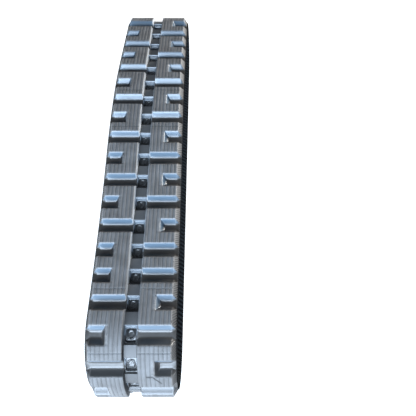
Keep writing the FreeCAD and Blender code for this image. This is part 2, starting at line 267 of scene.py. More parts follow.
def closed_line():
    """The cord line whose loop is a whole number of pitches, centred on the origin."""
    tail_length = (PITCH * LINK_COUNT - loop_length(0.0)) / (loop_length(1.0) - loop_length(0.0))
    line = open_line(tail_length)
    far_bend = line[-1]
    far_y = end_of(far_bend)[0]
    line.append(Stretch(far_bend.start + far_bend.length, far_y, far_y, 0.0, -math.pi, 0.0))
    far_radius = -far_bend.length / far_bend.turn
    middle = (far_y + far_radius - NEAR_LOWER_RADIUS) / 2
    return [piece._replace(y=piece.y - middle, z=piece.z + PLATEAU) for piece in line]


LINE = np.array(closed_line())


def places(distance):
    """Y, Z and heading of the cord line at an array of distances."""
    index = np.searchsorted(LINE[:, 0], distance, side="right") - 1
    index = np.clip(index, 0, len(LINE) - 1)
    return on_stretch(*LINE[index].T, distance)


def in_frame(points):
    """Points of the CAD frame, from rows of distance, x and height."""
    y, z, heading = places(points[:, 0])
    height = points[:, 2]
    return np.stack([points[:, 1], y - height * np.sin(heading), z + height * np.cos(heading)], axis=1)


def row_at(number):
    """Distance of a slot row, which is also the middle of a window."""
    return ROW_OFFSET + number * PITCH


def core_at(number):
    """Distance of the steel core between slot rows number and number + 1."""
    return row_at(number) + PITCH / 2


# ---- the belt's two surfaces


def soft_min(first, second, rounding):
    """The lower of two surfaces, with the edge between them rounded."""
    near = np.maximum(rounding - np.abs(first - second), 0.0)
    return np.minimum(first, second) - near * near / (4 * rounding)


def soft_max(first, second, rounding):
    """The higher of two surfaces, with the corner between them filled."""
    return -soft_min(-first, -second, rounding)


def nearest_row(distance):
    """Number of the nearest slot row, and how far away it is."""
    row = np.round((distance - ROW_OFFSET) / PITCH)
    return row, np.abs(distance - row_at(row))


def nearest_core(distance):
    """Number of the nearest core, and how far away it is."""
    return nearest_row(distance - PITCH / 2)


def slot_is_long(row, on_left):
    """Long and short slots alternate, but the splice row repeats the row before it."""
    parity = np.where(row < SPLICE_ROW, 0, 1)
    return (row % 2 == parity) == on_left


def window_recess(row, from_row, reach):
    """1 in the window of the open row, which isn't a hole, and 0 elsewhere."""
    inside_x = np.clip((FRAME_X - reach) / WINDOW_FRAME, 0, 1)
    inside_y = np.clip((FRAME_Y - from_row) / WINDOW_FRAME, 0, 1)
    return np.where(row == OPEN_ROW, inside_x * inside_y, 0.0)


def lug_edges(distance, x):
    """Heights of the sloped sides of the lugs: channel wall, shoulder and slot."""
    row, from_row = nearest_row(distance)
    reach = np.abs(x)
    slot = COVER + SLOT_LEAN * (from_row - SLOT_FLOOR)
    slot_end = COVER + SLOT_LEAN * (SHORT_SLOT_FLOOR - reach)
    slot = np.where(slot_is_long(row, x < 0), slot, soft_max(slot, slot_end, CORNER_ROUND))
    wall = COVER + CHANNEL_LEAN * (reach - CHANNEL_FLOOR)
    shoulder = COVER + SHOULDER_LEAN * (LUG_FOOT - reach)
    return wall, shoulder, slot


def floor_height(from_row, reach):
    """Height of the floor between the lugs, raised on the pads."""
    on_pad = np.clip((from_row - PAD_START) / (PAD_END - PAD_START), 0, 1)
    on_pad = on_pad * np.clip((CHANNEL_FLOOR + PAD_SIDE - reach) / PAD_SIDE_FADE, 0, 1)
    return COVER + (PAD - COVER) * on_pad


def rib_groove(x):
    """1 in the middle of a groove between two ribs, and 0 on the ribs."""
    phase = (np.abs(x) - RIB_START) / RIB_PITCH
    offset = np.abs(phase - np.clip(np.round(phase), 0, RIB_COUNT - 1)) * RIB_PITCH
    return np.clip(1 - offset / GROOVE_HALF, 0, 1)


def parting_groove(distance):
    """1 on the mould's parting lines, which cross some of the lands."""
    number, offset = nearest_core(distance)
    marked = np.isin(number % PARTING_REPEAT, PARTING_LINKS)
    return np.where(marked, np.clip(1 - offset / PARTING_HALF, 0, 1), 0.0)


def hatch(distance, across):
    """Close slanted ribs on the shoulders and edges: 0 on a rib, 1 between two."""
    phase = (distance - HATCH_SLANT * across) / HATCH_PITCH
    return 0.5 - 0.5 * np.cos(2 * math.pi * phase)


def margin_hatch(distance, across):
    """Wide slanted ribs on the margins of the inner side: 0 between two, 1 on a rib."""
    phase = (distance - MARGIN_SLANT * across) / MARGIN_PITCH
    return (0.5 + 0.5 * np.cos(2 * math.pi * phase)) ** 2


def margin_share(reach):
    """1 on the hatched margins of the inner side, and 0 between them."""
    return np.clip((reach - INNER_STRIP) / MARGIN_FADE, 0, 1)


def shoulder_share(distance, x):
    """1 on the shoulders and edges, and 0 on lands, slot walls and floors."""
    reach = np.abs(x)
    _, shoulder, slot = lug_edges(distance, x)
    past_slot = np.clip((slot - shoulder) / SHARE_FADE, 0, 1)
    return np.clip((reach - PLATEAU_HALF) / SHARE_FADE, 0, 1) * np.maximum(past_slot, reach > LUG_FOOT)


def tread_height(distance, x):
    """Height of the tread side, with its lugs, slots, channel and ribs."""
    row, from_row = nearest_row(distance)
    reach = np.abs(x)
    wall, shoulder, slot = lug_edges(distance, x)
    lug = soft_min(soft_min(PLATEAU, wall, RIM_ROUND), shoulder, RIM_ROUND)
    lug = soft_min(lug, slot, SLOT_RIM_ROUND)
    from_sides = np.minimum(reach - CHANNEL_FLOOR, PLATEAU_HALF + TROUGH_FADE - reach)
    under_lug = np.clip(from_sides / TROUGH_FADE, 0, 1)
    foot_round = FOOT_ROUND + (TROUGH_ROUND - FOOT_ROUND) * under_lug
    height = soft_max(lug, floor_height(from_row, reach), foot_round)
    on_top = np.clip((lug - PLATEAU) / TOP_FADE + 1, 0, 1)
    grooves = GROOVE_DEPTH * rib_groove(x) + PARTING_DEPTH * parting_groove(distance)
    height = height - on_top * grooves
    on_shoulder = shoulder_share(distance, x) * np.clip((LUG_FOOT - reach) / SHARE_FADE, 0, 1)
    above_cover = np.clip((height - COVER) / HATCH_FADE, 0, 1)
    height = height - on_shoulder * above_cover * HATCH_DEPTH * hatch(distance, reach)
    height = np.where((row == OPEN_ROW) & (from_row < LUG_GAP), np.minimum(height, COVER), height)
    return height - (COVER - SKIN) * window_recess(row, from_row, reach)


def inner_height(distance, x):
    """Height of the inner side, with its roller paths and guide lugs."""
    row, from_row = nearest_row(distance)
    from_core = nearest_core(distance)[1]
    reach = np.abs(x)
    side = GUIDE_ROOT + GUIDE_SIDE_LEAN * (GUIDE_BASE[0] - np.abs(reach - GUIDE_CENTRE))
    end = GUIDE_ROOT + GUIDE_END_LEAN * (GUIDE_BASE[1] - from_core)
    lug = soft_min(soft_min(side, end, INNER_ROUND * 3), GUIDE_DEPTH, INNER_ROUND * 2)
    path = -CARCASS + ROLLER_LEAN * (ROLLER_HALF - np.abs(reach - ROLLER_CENTRE))
    path = soft_min(path, ROLLER_DEPTH, INNER_ROUND)
    depth = soft_max(soft_max(lug, -CARCASS, INNER_ROUND), path, INNER_ROUND / 3)
    return -depth + (BLIND_RECESS - CARCASS) * window_recess(row, from_row, reach)


# ---- meshes of the belt


class Shell:
    """Points given as distance, x and height, and the polygons between them."""

    def __init__(self):
        self.blocks = []
        self.count = 0
        self.faces = []
        self.smooth = []

    def add(self, distance, x, height):
        """Adds an array of points and returns their numbers in the same shape."""
        block = np.broadcast_arrays(distance, x, height)
        numbers = np.arange(self.count, self.count + block[0].size).reshape(block[0].shape)
        self.blocks.append(np.stack([part.ravel() for part in block], axis=1))
        self.count += block[0].size
        return numbers

    def add_faces(self, faces, smooth=True):
        """Adds polygons, given as lists of point numbers."""
        self.faces += faces
        self.smooth += [smooth] * len(faces)

    def net(self, numbers, keep=None):
        """Quads over a grid of points whose rows follow the belt."""
        corners = [numbers[:-1, :-1], numbers[:-1, 1:], numbers[1:, 1:], numbers[1:, :-1]]
        quads = np.stack(corners, axis=-1)
        quads = quads.reshape(-1, 4) if keep is None else quads[keep]
        self.add_faces(quads.tolist())

    def stitch(self, left, left_rows, right, right_rows, smooth=True):
        """Polygons between two columns of points, one with rows that the other skips."""
        coarse = left_rows if len(left_rows) < len(right_rows) else right_rows
        left_at = np.searchsorted(left_rows, coarse)
        right_at = np.searchsorted(right_rows, coarse)
        faces = []
        for low in range(len(coarse) - 1):
            up_right = right[right_at[low] : right_at[low + 1] + 1]
            down_left = left[left_at[low] : left_at[low + 1] + 1][::-1]
            faces.append(list(up_right) + list(down_left))
        self.add_faces(faces, smooth)

    def rings(self, loop, next_loops):
        """Quads between closed loops of points, each inside or below the one before."""
        for inner in next_loops:
            after = np.roll(loop, -1), np.roll(inner, -1)
            self.add_faces(np.stack([loop, after[0], after[1], inner], axis=1).tolist())
            loop = inner
        return loop

    def points(self):
        """All points, as rows of distance, x and height."""
        return np.concatenate(self.blocks)


def merged_lines(section, lines):
    """Sorted lines within a section, its two ends among them."""
    low, high = section.start + SAME_PLACE, section.end - SAME_PLACE
    inside = [line for line in lines if low < line < high]
    return np.unique(np.round([section.start, section.end] + inside, 6))


def rows_of(section):
    """Numbers of the slot rows that lie in a section or touch it."""
    first = math.ceil((section.start - ROW_OFFSET) / PITCH - 0.5)
    last = math.floor((section.end - ROW_OFFSET) / PITCH + 0.5)
    return range(first, last + 1)


def around(middle, reach, steps=2):
    """Lines on both sides of an edge, close enough to round it."""
    return [middle + reach * step / steps for step in range(-steps, steps + 1)]


def window_lines():
    """Distances from a row of the lines that cross its window."""
    rim_reach = SLOT_RIM_ROUND / SLOT_LEAN
    trough_reach = TROUGH_ROUND / SLOT_LEAN
    lines = [0.0, (SLOT_FLOOR - trough_reach) / 2] + around(SLOT_FLOOR, trough_reach, 4)
    lines += [SLOT_RIM - rim_reach * share for share in RIM_STEPS_INSIDE]
    return lines + [FRAME_Y]


def lines_about_rows(section, offsets):
    """Lines at the same distances before and after each row of a section."""
    rows = [row_at(row) for row in rows_of(section)]
    return [row + sign * offset for row in rows for offset in offsets for sign in (-1, 1)]


def tread_lines(section):
    """Distances of the lines of points across the tread side."""
    rim_reach = SLOT_RIM_ROUND / SLOT_LEAN
    half_pitch = PITCH / 2
    beyond = [SLOT_RIM + rim_reach * share for share in RIM_STEPS]
    beyond += [(SLOT_RIM + half_pitch) / 2]
    beyond += [half_pitch - PARTING_HALF * step for step in (2, 1, 0)]
    lines = lines_about_rows(section, window_lines() + beyond)
    gap_edges = (LUG_GAP - STEP_HALF, LUG_GAP + STEP_HALF)
    lines += [row_at(OPEN_ROW) + sign * edge for sign in (-1, 1) for edge in gap_edges]
    return merged_lines(section, lines)


def inner_lines(section):
    """Distances of the lines of points across the inner side."""
    base_half = GUIDE_BASE[1] - (-CARCASS - GUIDE_ROOT) / GUIDE_END_LEAN
    from_core = [0.0, GUIDE_MIDDLE, GUIDE_TIP[1] / 2] + around(GUIDE_TIP[1], GUIDE_EDGE, 1)
    from_core += [base_half - GUIDE_FOOT, base_half]
    offsets = window_lines() + [PITCH / 2 - line for line in from_core]
    return merged_lines(section, lines_about_rows(section, offsets))


def close_lines(section, *coarse):
    """Close lines for the slanted ribs; the coarse lines are all among them."""
    fixed = np.unique(np.concatenate(coarse))
    even = np.arange(section.start, section.end, CLOSE_STEP)
    gap = np.min(np.abs(even[:, None] - fixed[None, :]), axis=1)
    return np.unique(np.concatenate([fixed, even[gap > CLOSE_STEP / 4]]))


def both_sides(places_on_right):
    """The same places on the left and the right, in order."""
    return np.unique(np.round([side * place for place in places_on_right for side in (-1, 1)], 6))


def channel_columns():
    """Columns of points across one half of the window and its frame."""
    return [0.0, WINDOW_HALF.x / 3, WINDOW_HALF.x * 2 / 3, WINDOW_HALF.x, FRAME_X]


def tread_columns():
    """Columns of points across the tread, from one close strip to the other."""
    columns = channel_columns() + [CHANNEL_FLOOR + CHANNEL_EDGE, (CHANNEL_FLOOR + CHANNEL_RIM) / 2]
    columns += around(CHANNEL_RIM, RIM_ROUND / CHANNEL_LEAN)
    for rib in range(RIB_COUNT):
        columns += around(RIB_START + rib * RIB_PITCH, GROOVE_HALF, 1)
    columns += around(SHORT_SLOT_FLOOR - SLOT_END_STEP / 2, SLOT_END_STEP, 1)
    return both_sides(columns + [TREAD_STRIP])


def inner_columns():
    """Columns of points across the inner side, from one close strip to the other."""
    columns = channel_columns()
    base_half = GUIDE_BASE[0] - (-CARCASS - GUIDE_ROOT) / GUIDE_SIDE_LEAN
    for side in (-1, 1):
        columns += [GUIDE_CENTRE + side * (base_half + extra) for extra in GUIDE_FOOT_STEPS]
        columns += [GUIDE_CENTRE + side * (GUIDE_TIP[0] + extra) for extra in GUIDE_TOP_STEPS]
        columns += around(ROLLER_CENTRE + side * ROLLER_HALF, PATH_EDGE, 1)
        columns += [ROLLER_CENTRE + side * (ROLLER_HALF - PATH_INSET)]
    return both_sides(columns + [GUIDE_CENTRE, ROLLER_CENTRE, INNER_STRIP])


def edge_points(rows, lines_down):
    """Reach and height of the points down the belt's edge, dented by the hatch."""
    heights, insets, shares = np.array(lines_down).T[:, None, :]
    dents = HATCH_DEPTH * hatch(rows, heights) * shares
    return BELT_HALF - insets - dents, np.broadcast_to(heights, dents.shape)


def tread_strip(lines, side):
    """Points from the plateau over the shoulder and down the belt's edge."""
    rows = lines[:, None]
    reach = np.array([SHOULDER_COLUMNS])
    top = tread_height(rows, side * reach)
    edge_reach, edge_height = edge_points(rows, TREAD_EDGE)
    x = np.concatenate([np.broadcast_to(reach, top.shape), edge_reach], axis=1)
    height = np.concatenate([top, edge_height], axis=1)
    return np.broadcast_to(rows, x.shape), side * x, height


def inner_strip(lines, side):
    """Points from the belt's edge round to the inner side's hatched margin."""
    rows = lines[:, None]
    edge_reach, edge_height = edge_points(rows, INNER_EDGE)
    reach = np.array([MARGIN_COLUMNS])
    margin = CARCASS + HATCH_DEPTH * (1 - margin_hatch(rows, reach)) * margin_share(reach)
    x = np.concatenate([edge_reach, np.broadcast_to(reach, margin.shape)], axis=1)
    height = np.concatenate([edge_height, margin], axis=1)
    return np.broadcast_to(rows, x.shape), side * x, height


def window_outline(x, y, outset):
    """Moves points from a window's frame onto its rounded outline, seen from its middle."""
    core_x = np.clip(x, -WINDOW_HALF.x + WINDOW_CORNER, WINDOW_HALF.x - WINDOW_CORNER)
    core_y = np.clip(y, -WINDOW_HALF.y + WINDOW_CORNER, WINDOW_HALF.y - WINDOW_CORNER)
    length = np.hypot(x - core_x, y - core_y)
    scale = (WINDOW_CORNER + outset) / length
    return core_x + (x - core_x) * scale, core_y + (y - core_y) * scale


def open_rows(section):
    """Rows of a section whose windows are holes right through the belt."""
    low, high = section.start + FRAME_Y, section.end - FRAME_Y
    return [row for row in rows_of(section) if row != OPEN_ROW and low < row_at(row) < high]


def window_wall(shell, section, numbers, lines, columns, levels):
    """Gives the windows rounded walls; returns the quads to keep and where the walls end."""
    keep = np.ones((len(lines) - 1, len(columns) - 1), bool)
    across = np.flatnonzero(np.abs(np.abs(columns) - FRAME_X) < SAME_PLACE)
    bottoms = {}
    for row in open_rows(section):
        low, high = (int(np.argmin(np.abs(lines - row_at(row) - end))) for end in (-FRAME_Y, FRAME_Y))
        keep[low:high, across[0] : across[1]] = False
        hole = numbers[low : high + 1, across[0] : across[1] + 1]
        x, y = np.meshgrid(columns[across[0] : across[1] + 1], lines[low : high + 1] - row_at(row))
        loop, loop_x, loop_y = (border_of(grid) for grid in (hole, x, y))
        loops = []
        for outset, pinch, height in levels:
            ring_x, ring_y = window_outline(loop_x, loop_y, outset)
            ring_x, ring_y = ring_x * (1 - pinch / PINCH_RATIO), ring_y * (1 - pinch)
            loops.append(shell.add(row_at(row) + ring_y, ring_x, height))
        last = shell.rings(loop, loops)
        bottoms[row] = sides_of(last, hole.shape), (low, high)
    return keep, bottoms


def border_of(grid):
    """The values on the border of a grid: first row, last column, last row and first column."""
    return np.concatenate([grid[0, :-1], grid[:-1, -1], grid[-1, :0:-1], grid[:0:-1, 0]])


def sides_of(loop, shape):
    """Splits a window's loop into the four sides of border_of, each in grid order."""
    height, width = shape
    closed = np.append(loop, loop[0])
    corners = np.cumsum([0, width - 1, height - 1, width - 1, height - 1])
    sides = [closed[corners[side] : corners[side + 1] + 1] for side in range(4)]
    return sides[0], sides[1], sides[2][::-1], sides[3][::-1]


def close_layer(shell, section, first, last, close, lines, bottoms):
    """The hidden flat side of a layer, between its two edges and round the windows."""
    position = 0
    for row in open_rows(section):
        (front, last_side, back, first_side), (low, high) = bottoms[row]
        start, end = np.searchsorted(close, [lines[low], lines[high]])
        shell.net(np.stack([last[position : start + 1], first[position : start + 1]], axis=1))
        shell.add_faces([[last[start], first[start]] + list(front)], False)
        inside = lines[low : high + 1]
        shell.stitch(last[start : end + 1], close[start : end + 1], last_side, inside, False)
        shell.stitch(first_side, inside, first[start : end + 1], close[start : end + 1], False)
        shell.add_faces([[first[end], last[end]] + list(back[::-1])], False)
        position = end
    shell.net(np.stack([last[position:], first[position:]], axis=1))


def layer(section, lines, columns, height_at, strip, levels):
    """One closed layer: a net between two close strips, window walls and end faces."""
    shell = Shell()
    close = close_lines(section, tread_lines(section), inner_lines(section))
    first = 1 if columns[0] > 0 else -1
    strips = ([part[:, ::side] for part in strip(close, side)] for side in (first, -first))
    before, after = (shell.add(*parts) for parts in strips)
    middle = shell.add(lines[:, None], columns[None, 1:-1], height_at(lines[:, None], columns[None, 1:-1]))
    edge_rows = np.searchsorted(close, lines)
    numbers = np.concatenate([before[edge_rows, -1:], middle, after[edge_rows, :1]], axis=1)
    keep, bottoms = window_wall(shell, section, numbers, lines, columns, levels)
    shell.net(before)
    shell.net(after)
    shell.stitch(before[:, -1], close, middle[:, 0], lines)
    shell.net(middle, keep[:, 1:-1])
    shell.stitch(middle[:, -1], lines, after[:, 0], close)
    close_layer(shell, section, before[:, 0], after[:, -1], close, lines, bottoms)
    for end, order in ((0, -1), (-1, 1)):
        rim = np.concatenate([before[end], middle[end], after[end]])
        shell.add_faces([list(rim[::order])], False)
    return shell


def tread_layer(section):
    """The tread cover with its lugs, from the cord line to the ground."""
    levels = [(WINDOW_FRAME * RIM_SHARE, 0.0, COVER)]
    for step in range(WINDOW_STEPS + 1):
        share = step / WINDOW_STEPS
        drop = (COVER - SKIN) * (share - math.sin(2 * math.pi * share) / (2 * math.pi))
        levels.append((0.0, WINDOW_PINCH * share, COVER - drop))
    levels.append((0.0, WINDOW_PINCH, LAYER_SPLIT))
    return layer(section, tread_lines(section), tread_columns(), tread_height, tread_strip, levels)


def inner_layer(section):
    """The carcass with its roller paths and guide lugs."""
    columns = inner_columns()[::-1]
    return layer(section, inner_lines(section), columns, inner_height, inner_strip, INNER_WINDOW_LEVELS)


# ---- window skins

RING_HALF = Vector((0.0130, 0.0155))
RING_WALL = 0.0026
RING_RISE = 0.0020
SKIN_ANGLES = 48
SLASH_HALF_LENGTH = 0.0135
SLASH_HALF_WIDTH = 0.0014
SLASH_SLANT = math.radians(38)

# the skin's rim, as distance inside the window's outline and height over the cord line
SKIN_SECTION = [(0.0002, LAYER_SPLIT + 0.0002), (0.0002, SKIN - 0.0006), (0.0010, SKIN), (0.0022, SKIN)]

# the moulded ring, as distance inside its outer edge and height over the skin
RING_SECTION = [(-0.0006, 0.0), (0.0002, RING_RISE - 0.0006), (0.0008, RING_RISE)]
RING_SECTION += [(RING_WALL - 0.0008, RING_RISE), (RING_WALL - 0.0002, RING_RISE - 0.0006)]
RING_SECTION += [(RING_WALL + 0.0004, 0.0002), (RING_HALF.x * 0.6, 0.0)]

# the slanted bar's foot and top, as height over the skin and extra half width
SLASH_SECTION = ((-0.0006, 0.0008), (RING_RISE * 0.8, 0.0))


def oval(angles, shrink):
    """Points of an oval inside or outside the moulded ring."""
    return (RING_HALF.x - shrink) * np.cos(angles), (RING_HALF.y - shrink) * np.sin(angles)


def skin_outline(angles, inset):
    """Points of a window's rounded outline, seen from its middle."""
    scale = 1 / np.maximum(np.abs(np.cos(angles)) / FRAME_X, np.abs(np.sin(angles)) / FRAME_Y)
    x, y = window_outline(scale * np.cos(angles), scale * np.sin(angles), -inset)
    return x * (1 - WINDOW_PINCH / PINCH_RATIO), y * (1 - WINDOW_PINCH)


def add_skin(shell, row):
    """One thin skin across a window, with a moulded ring."""
    angles = np.arange(SKIN_ANGLES) * 2 * math.pi / SKIN_ANGLES
    loops = [(skin_outline(angles, inset), height) for inset, height in SKIN_SECTION]
    loops += [(oval(angles, inset), SKIN + rise) for inset, rise in RING_SECTION]
    numbers = [shell.add(row_at(row) + y, x, height) for (x, y), height in loops]
    last = shell.rings(numbers[0], numbers[1:])
    shell.add_faces([list(last)])
    shell.add_faces([list(numbers[0][::-1])], False)


def add_slash(shell, row):
    """The slanted bar across a ring."""
    corners = []
    for rise, extra in SLASH_SECTION:
        for along, across in ((-1, -1), (1, -1), (1, 1), (-1, 1)):
            length = along * SLASH_HALF_LENGTH
            width = across * (SLASH_HALF_WIDTH + extra)
            x = width * math.cos(SLASH_SLANT) + length * math.sin(SLASH_SLANT)
            y = length * math.cos(SLASH_SLANT) - width * math.sin(SLASH_SLANT)
            corners.append((row_at(row) + y, x, SKIN + rise))
    first = shell.add(*np.array(corners).T)
    faces = [[0, 1, 2, 3], [7, 6, 5, 4]]
    faces += [[side, side + 4, (side + 1) % 4 + 4, (side + 1) % 4] for side in range(4)]
    shell.add_faces(first[faces].tolist(), False)


def skins(section):
    """All the skins of one section."""
    shell = Shell()
    for row in open_rows(section):
        add_skin(shell, row)
        add_slash(shell, row)
    return shell


# ---- materials

# between two cores the near end turns into the upper run; there the painted light and shade on walls
# change, and the shoulders turn paler
NEAR_TO_UPPER_RUN = (core_at(4), core_at(8))

# where the rubber's zones begin and how they fade
MASK_FADE = 0.001
CHANNEL_FADE = 0.0018
FOOT_FADE = 0.0015
WALL_START = 0.002
WALL_FULL = 0.007
PAD_EDGE = 0.0005
PAD_TOP = 0.0002
LAND_START = 0.004
LAND_FADE = 0.003
EDGE_WIDTH = 0.004
POLISH_START = 0.001
POLISH_FADE = 0.004


class Nodes:
    """A material's node tree, with short calls for the nodes used here."""

    def __init__(self, name):
        self.material = bpy.data.materials.new(name)
        self.material.use_nodes = True
        self.tree = self.material.node_tree
        self.surface = self.tree.nodes["Principled BSDF"]

    def node(self, kind, inputs=(), **settings):
        made = self.tree.nodes.new(kind)
        for key, value in settings.items():
            setattr(made, key, value)
        for socket, value in dict(inputs).items():
            self.set(made.inputs[socket], value)
        return made

    def set(self, socket, value):
        if isinstance(value, bpy.types.NodeSocket):
            self.tree.links.new(value, socket)
        else:
            socket.default_value = value

    def attribute(self, name):
        return self.node("ShaderNodeAttribute", attribute_name=name).outputs["Vector"]

    def object_place(self):
        return self.node("ShaderNodeTexCoord").outputs["Object"]

    def parts(self, vector):
        return tuple(self.node("ShaderNodeSeparateXYZ", {"Vector": vector}).outputs)

    def stretched(self, vector, scale):
        return self.node("ShaderNodeMapping", {"Vector": vector, "Scale": scale}).outputs["Vector"]

    def noise(self, vector, scale, detail=3.0, roughness=0.55):
        settings = {"Vector": vector, "Scale": scale, "Detail": detail, "Roughness": roughness}
        return self.node("ShaderNodeTexNoise", settings).outputs["Fac"]

    def between(self, value, low, high, to_low=0.0, to_high=1.0):
        settings = {"Value": value, "From Min": low, "From Max": high, "To Min": to_low, "To Max": to_high}
        return self.node("ShaderNodeMapRange", settings, clamp=True).outputs["Result"]

    def maths(self, operation, first, second=0.0):
        return self.node("ShaderNodeMath", {0: first, 1: second}, operation=operation).outputs["Value"]

    def mix(self, share, first, second):
        colours = {"Factor": share, "A": first, "B": second}
        return self.node("ShaderNodeMix", colours, data_type="RGBA").outputs["Result"]

    def bump(self, height, distance, strength):
        settings = {"Height": height, "Distance": distance, "Strength": strength}
        return self.node("ShaderNodeBump", settings).outputs["Normal"]

    def finish(self, **sockets):
        for socket, value in sockets.items():
            self.set(self.surface.inputs[socket.replace("_", " ")], value)
        return self.material


def grey(level, warmth=0.0):
    """A colour near grey; warmth above 0 leans to cream and below 0 to blue."""
    return (level * (1 + warmth), level, level * (1 - warmth), 1.0)


def cut_mark(nodes, belt):
    """A cut in one lug, level at first and then slanting down past a slot's end."""
    x, distance, _ = nodes.parts(belt)
    past_bend = nodes.maths("MAXIMUM", nodes.maths("SUBTRACT", x, CUT_BEND), 0.0)
    line = nodes.maths("SUBTRACT", core_at(3) + CUT_RISE, nodes.maths("MULTIPLY", past_bend, CUT_SLOPE))
    off = nodes.maths("ABSOLUTE", nodes.maths("SUBTRACT", distance, line))
    on_line = nodes.between(off, CUT_HALF_WIDTH / 2, CUT_HALF_WIDTH, 1.0, 0.0)
    from_middle = nodes.maths("ABSOLUTE", nodes.maths("SUBTRACT", x, (CUT_START + CUT_END) / 2))
    inside = nodes.maths("LESS_THAN", from_middle, (CUT_END - CUT_START) / 2)
    return nodes.maths("MULTIPLY", on_line, inside)


def channel_mask(nodes, reach, start=CHANNEL_FLOOR):
    """1 on the floor and the pads of the channel, and 0 from the foot of its walls."""
    return nodes.between(reach, start, CHANNEL_FLOOR + CHANNEL_FADE, 1.0, 0.0)


def wall_share(nodes, reach, height, land, shoulder):
    """1 on the walls of slots, channel and windows, and 0 on lands, floors and shoulders."""
    lug_wall = nodes.between(height, COVER + WALL_START, COVER + WALL_FULL)
    pad_wall = nodes.between(height, PAD - WALL_START, PAD - PAD_EDGE, 1.0, 0.0)
    in_channel = channel_mask(nodes, reach, CHANNEL_FLOOR + CHANNEL_EDGE)
    wall = nodes.between(in_channel, 0.0, 1.0, lug_wall, pad_wall)
    elsewhere = nodes.maths("SUBTRACT", 1.0, nodes.maths("MAXIMUM", land, shoulder))
    return nodes.maths("MULTIPLY", wall, elsewhere)


def shaded_wall(nodes, x, distance):
    """Nearly 1 on the channel's left wall at the near bend, which is dull and dark."""
    past_rim = nodes.between(x, -CHANNEL_RIM - MASK_FADE, -CHANNEL_RIM + MASK_FADE)
    before_floor = nodes.between(x, -CHANNEL_FLOOR - MASK_FADE, -CHANNEL_FLOOR, 1.0, 0.0)
    at_bend = nodes.between(distance, *NEAR_TO_UPPER_RUN, 0.9, 0.0)
    return nodes.maths("MULTIPLY", past_rim, nodes.maths("MULTIPLY", before_floor, at_bend))


def wall_colour(nodes, reach, in_channel, on_upper_run):
    """Walls with painted light: bluish painted reflections, painted shade facing away, a pale painted
    highlight by the upper run's channel.
    """
    painted_shade_side = nodes.parts(nodes.attribute("facing"))[0]
    beside_channel = nodes.between(reach, CHANNEL_RIM, CHANNEL_RIM + MASK_FADE, 1.0, 0.0)
    # painted reflection: walls facing the light are pale and bluish, darker and bluer on the upper run
    lit_wall = nodes.mix(on_upper_run, grey(0.130, -0.22), grey(0.085, -0.36))
    # painted shade on slot walls that face away from the light
    slot_wall = nodes.mix(painted_shade_side, lit_wall, grey(0.022))
    # painted shade on the channel wall at the near bend, and a pale painted highlight on it along the upper
    # run
    channel_wall = nodes.mix(on_upper_run, grey(0.022), grey(0.30, -0.06))
    # window pocket walls: a bluish painted highlight where they face the light, painted shade where they
    # face away
    pocket_wall = nodes.mix(painted_shade_side, grey(0.130, -0.16), grey(0.022))
    return nodes.mix(in_channel, nodes.mix(beside_channel, slot_wall, channel_wall), pocket_wall)


def tread_colour(nodes, belt, relief, shoulder, wall, streaks):
    """Dusty lands, painted light and shade on walls, black floors, painted shade in grooves and on the
    belt's edge, worn edges.
    """
    groove, edge, land = relief
    x, distance, _ = nodes.parts(belt)
    reach = nodes.maths("ABSOLUTE", x)
    on_upper_run = nodes.between(distance, *NEAR_TO_UPPER_RUN)
    patches = nodes.noise(belt, 22.0, 4.0)
    dust = nodes.maths("MULTIPLY", land, nodes.between(patches, 0.3, 0.7, 0.45, 1.0))
    dust = nodes.maths("MULTIPLY", dust, nodes.between(streaks, 0.3, 0.7, 0.45, 1.0))
    in_channel = channel_mask(nodes, reach)
    colour = nodes.mix(in_channel, grey(0.028, 0.12), grey(0.045))
    colour = nodes.mix(wall, colour, wall_colour(nodes, reach, in_channel, on_upper_run))
    # painted shadow: the belt's edge past the lug's foot is near black; the shoulder slope is paler on the
    # upper run
    past_foot = nodes.between(reach, LUG_FOOT, LUG_FOOT + FOOT_FADE)
    slope_colour = nodes.mix(on_upper_run, grey(0.050, 0.04), grey(0.120, 0.03))
    colour = nodes.mix(shoulder, colour, nodes.mix(past_foot, slope_colour, grey(0.005)))
    colour = nodes.mix(dust, colour, grey(0.118, -0.02))
    # painted shade: grooves, parting lines and the shoulders' hatching are near black
    colour = nodes.mix(nodes.maths("MULTIPLY", groove, 0.9), colour, grey(0.006))
    worn = nodes.maths("MULTIPLY", edge, nodes.between(nodes.noise(belt, 90.0), 0.35, 0.6, 0.1, 0.5))
    colour = nodes.mix(worn, colour, grey(0.22, 0.04))
    nicks = nodes.maths("MULTIPLY", edge, nodes.between(nodes.noise(belt, 130.0, 2.0), 0.60, 0.66))
    return nodes.mix(nodes.maths("MAXIMUM", nicks, cut_mark(nodes, belt)), colour, grey(0.005))


